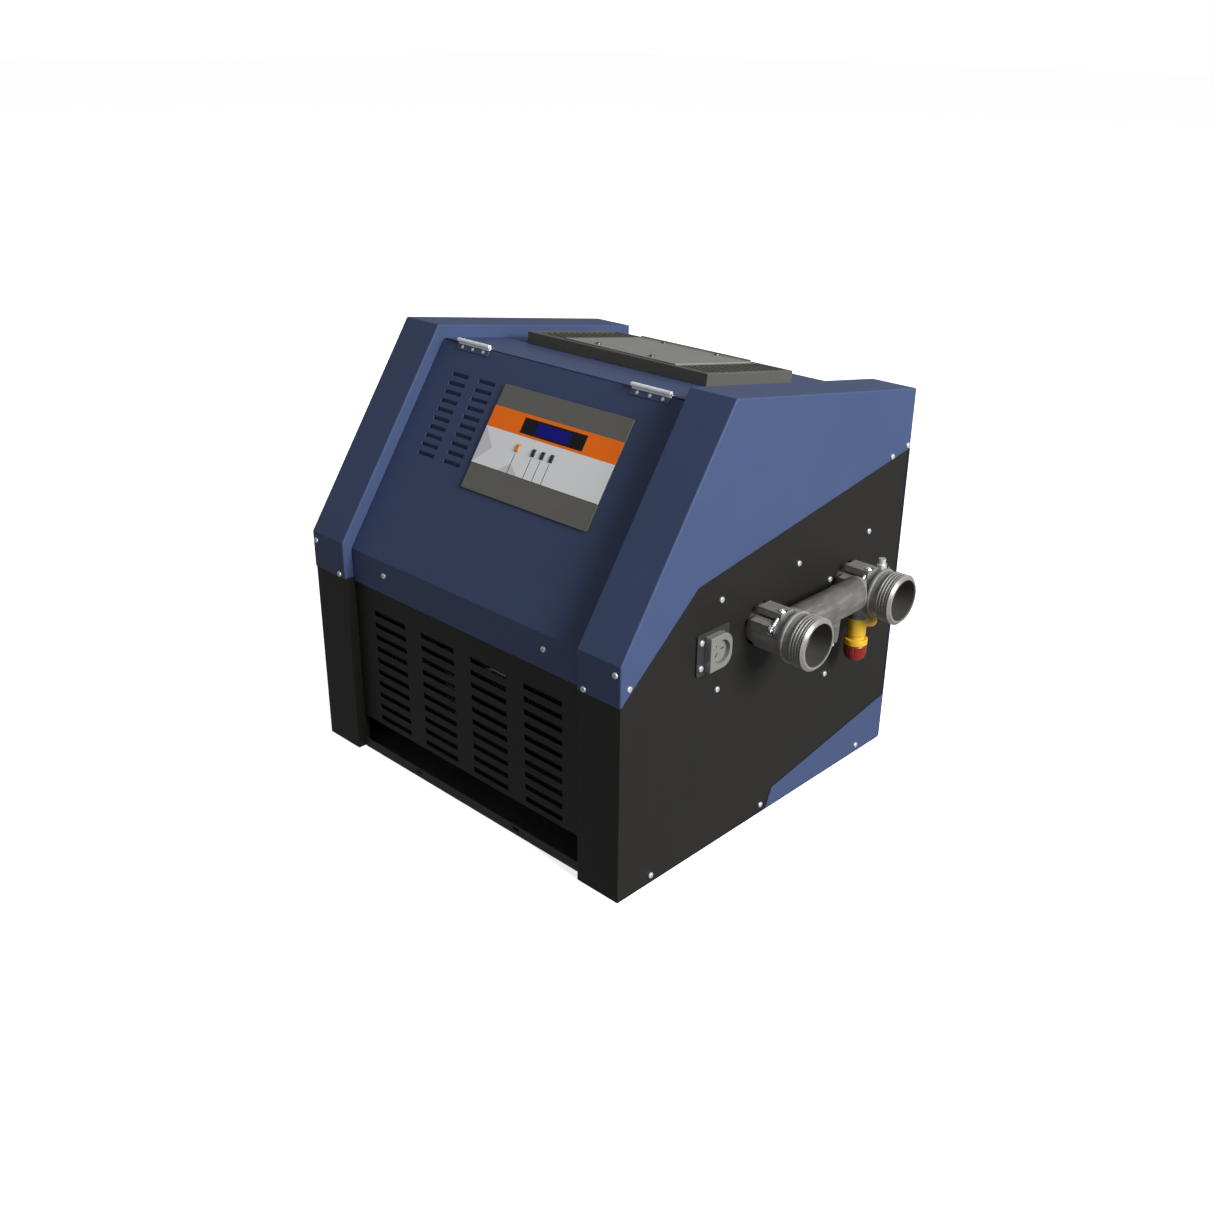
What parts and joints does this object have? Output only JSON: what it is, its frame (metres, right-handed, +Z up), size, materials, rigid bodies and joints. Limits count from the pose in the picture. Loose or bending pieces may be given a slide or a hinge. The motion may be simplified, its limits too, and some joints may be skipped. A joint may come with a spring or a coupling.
{
  "type": "gas pool heater",
  "caption": "Free-standing gas pool heater: sheet-metal cabinet with a sloped hinged control door, roof flue terminal and a side water header with threaded ports.",
  "frame": {"origin": "centre of the cabinet's footprint, on the floor", "axes": "+X towards the side with the water ports, -Y towards the front, +Z up"},
  "size_m": [0.839, 0.6756, 0.6998],
  "materials": {
    "cover_blue": "blue textured powder coat, satin",
    "panel_black": "black powder coat, satin",
    "flue_paint": "dark heat-resistant paint",
    "flue_plate": "matt aluminised sheet",
    "header_metal": "satin cast and machined metal",
    "zinc": "bright zinc plate",
    "hinge_steel": "polished stainless",
    "bezel_grey": "grey, satin",
    "label_print": "printed film, white and orange bands",
    "lcd_glass": "dark display window",
    "circuit": "circuit board green",
    "key_black": "black, matt",
    "key_orange": "orange, matt",
    "valve_yellow": "yellow, satin",
    "valve_red": "red, satin",
    "socket_grey": "light grey, satin",
    "brass": "machined",
    "copper": "copper tube, dull",
    "galvanised": "galvanised sheet",
    "steel_dark": "heat-stained steel",
    "insulation": "ceramic fibre board",
    "rubber_black": "seal rubber",
    "valve_grey": "die-cast",
    "plastic_black": "moulded, matt"
  },
  "bodies": {
    "cabinet": {"base_tray": "panel_black", "side_panel_right": "panel_black", "side_panel_left": "panel_black", "cheek_cover_right": "cover_blue", "cheek_cover_left": "cover_blue", "rear_panel": "cover_blue", "front_louvre_panel": "panel_black", "top_deck": "cover_blue", "hinge_fixed_leaves": "hinge_steel", "hinge_pins": "hinge_steel", "cabinet_screws": "zinc", "flue_frame": "flue_paint", "flue_cover_plate": "flue_plate", "flue_grilles": "flue_paint", "flue_screws": "zinc", "flue_collector": "galvanised", "water_header": "header_metal", "clamp_bolts": "zinc", "bypass_spring": "zinc", "drain_plug": "brass", "port_sensor": "zinc", "relief_valve_body": "valve_yellow", "pump_socket_flange": "plastic_black", "pump_socket": "socket_grey", "pump_socket_screws": "zinc", "exchanger_tubes": "copper", "exchanger_fins": "copper", "exchanger_frame": "galvanised", "water_tank_right": "header_metal", "water_tank_left": "header_metal", "stub_seals": "rubber_black", "pressure_switch": "plastic_black", "combustion_chamber": "galvanised", "chamber_liner": "insulation", "burner_tubes": "steel_dark", "gas_manifold": "steel_dark", "gas_valve": "valve_grey", "gas_inlet_pipe": "steel_dark", "igniter": "zinc", "fan_housing": "galvanised", "fan_motor": "steel_dark", "transformer": "steel_dark", "terminal_block": "plastic_black", "cable_gland": "plastic_black"},
    "door": {"front_door": "cover_blue", "hinge_door_leaves": "hinge_steel", "door_screws": "zinc", "control_bezel": "bezel_grey", "control_label": "label_print", "lcd_window": "lcd_glass", "display_module": "circuit", "control_rear_cover": "plastic_black"},
    "key_power_body": {"key_power": "key_orange"},
    "key_mode_body": {"key_mode": "key_black"},
    "key_down_body": {"key_down": "key_black"},
    "key_up_body": {"key_up": "key_black"},
    "relief_knob": {"relief_valve_knob": "valve_red"},
    "gas_knob": {"gas_valve_knob": "plastic_black"},
    "fan_wheel": {"fan_impeller": "galvanised"},
    "bypass": {"bypass_poppet": "brass"}
  },
  "joints": [
    {"name": "door_hinge", "type": "hinge", "parent": "cabinet", "child": "door", "pos_m": [0, -0.10968, 0.68091], "axis": [-1, 0, 0], "range_deg": [0, 85]},
    {"name": "relief_test", "type": "hinge", "parent": "cabinet", "child": "relief_knob", "pos_m": [0.388, 0.167, 0.25], "axis": [0, 0, 1], "range_deg": [0, 90]},
    {"name": "gas_knob_turn", "type": "hinge", "parent": "cabinet", "child": "gas_knob", "pos_m": [-0.28, -0.235, 0.156], "axis": [0, -1, 0], "range_deg": [0, 90]},
    {"name": "fan_spin", "type": "hinge", "parent": "cabinet", "child": "fan_wheel", "pos_m": [0.094, -0.236, 0.262], "axis": [1, 0, 0], "continuous": true},
    {"name": "bypass_lift", "type": "slide", "parent": "cabinet", "child": "bypass", "axis": [0, 1, 0], "range_m": [0, 0.01], "stiffness_N_per_m": 400, "springref_m": -0.004, "deforming": ["bypass_spring"]},
    {"name": "key_power_press", "type": "slide", "parent": "door", "child": "key_power_body", "axis": [0, 0.8276, -0.5612], "range_m": [0, 0.0008], "stiffness_N_per_m": 800, "springref_m": -0.0005},
    {"name": "key_mode_press", "type": "slide", "parent": "door", "child": "key_mode_body", "axis": [0, 0.8276, -0.5612], "range_m": [0, 0.0008], "stiffness_N_per_m": 800, "springref_m": -0.0005},
    {"name": "key_down_press", "type": "slide", "parent": "door", "child": "key_down_body", "axis": [0, 0.8276, -0.5612], "range_m": [0, 0.0008], "stiffness_N_per_m": 800, "springref_m": -0.0005},
    {"name": "key_up_press", "type": "slide", "parent": "door", "child": "key_up_body", "axis": [0, 0.8276, -0.5612], "range_m": [0, 0.0008], "stiffness_N_per_m": 800, "springref_m": -0.0005}
  ]
}
